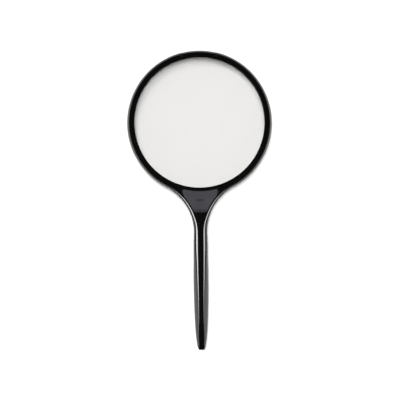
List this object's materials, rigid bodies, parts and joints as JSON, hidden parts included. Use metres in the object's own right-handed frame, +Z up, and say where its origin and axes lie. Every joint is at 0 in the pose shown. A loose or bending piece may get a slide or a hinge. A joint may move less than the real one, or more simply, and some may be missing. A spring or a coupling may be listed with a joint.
{
  "type": "magnifying glass",
  "caption": "Hand magnifying glass: a large round lens in a slim gloss black rim, a triangular matte panel at the neck and a long slender handle with a square end.",
  "frame": {"origin": "on the surface the glass lies on, under the middle of its overall length and width", "axes": "+Z up, along the lens axis, out of the front face; +Y from the end of the handle to the top of the rim; X across"},
  "size_m": [0.11, 0.2276, 0.012],
  "materials": {
    "gloss_black_abs": "high-gloss moulded black ABS",
    "clear_acrylic": "optically polished cast acrylic",
    "soft_cushion": "matte black thermoplastic elastomer",
    "matte_grey_inlay": "fine spark-eroded matte, dark grey",
    "screw_steel": "zinc-plated steel",
    "satin_black_plug": "satin moulded black"
  },
  "bodies": {
    "root": {"front_shell": "gloss_black_abs", "rear_shell": "gloss_black_abs", "lens": "clear_acrylic", "lens_cushion": "soft_cushion", "front_neck_inlay": "matte_grey_inlay", "rear_neck_inlay": "matte_grey_inlay", "neck_screws": "screw_steel", "end_plug": "satin_black_plug"}
  },
  "joints": []
}
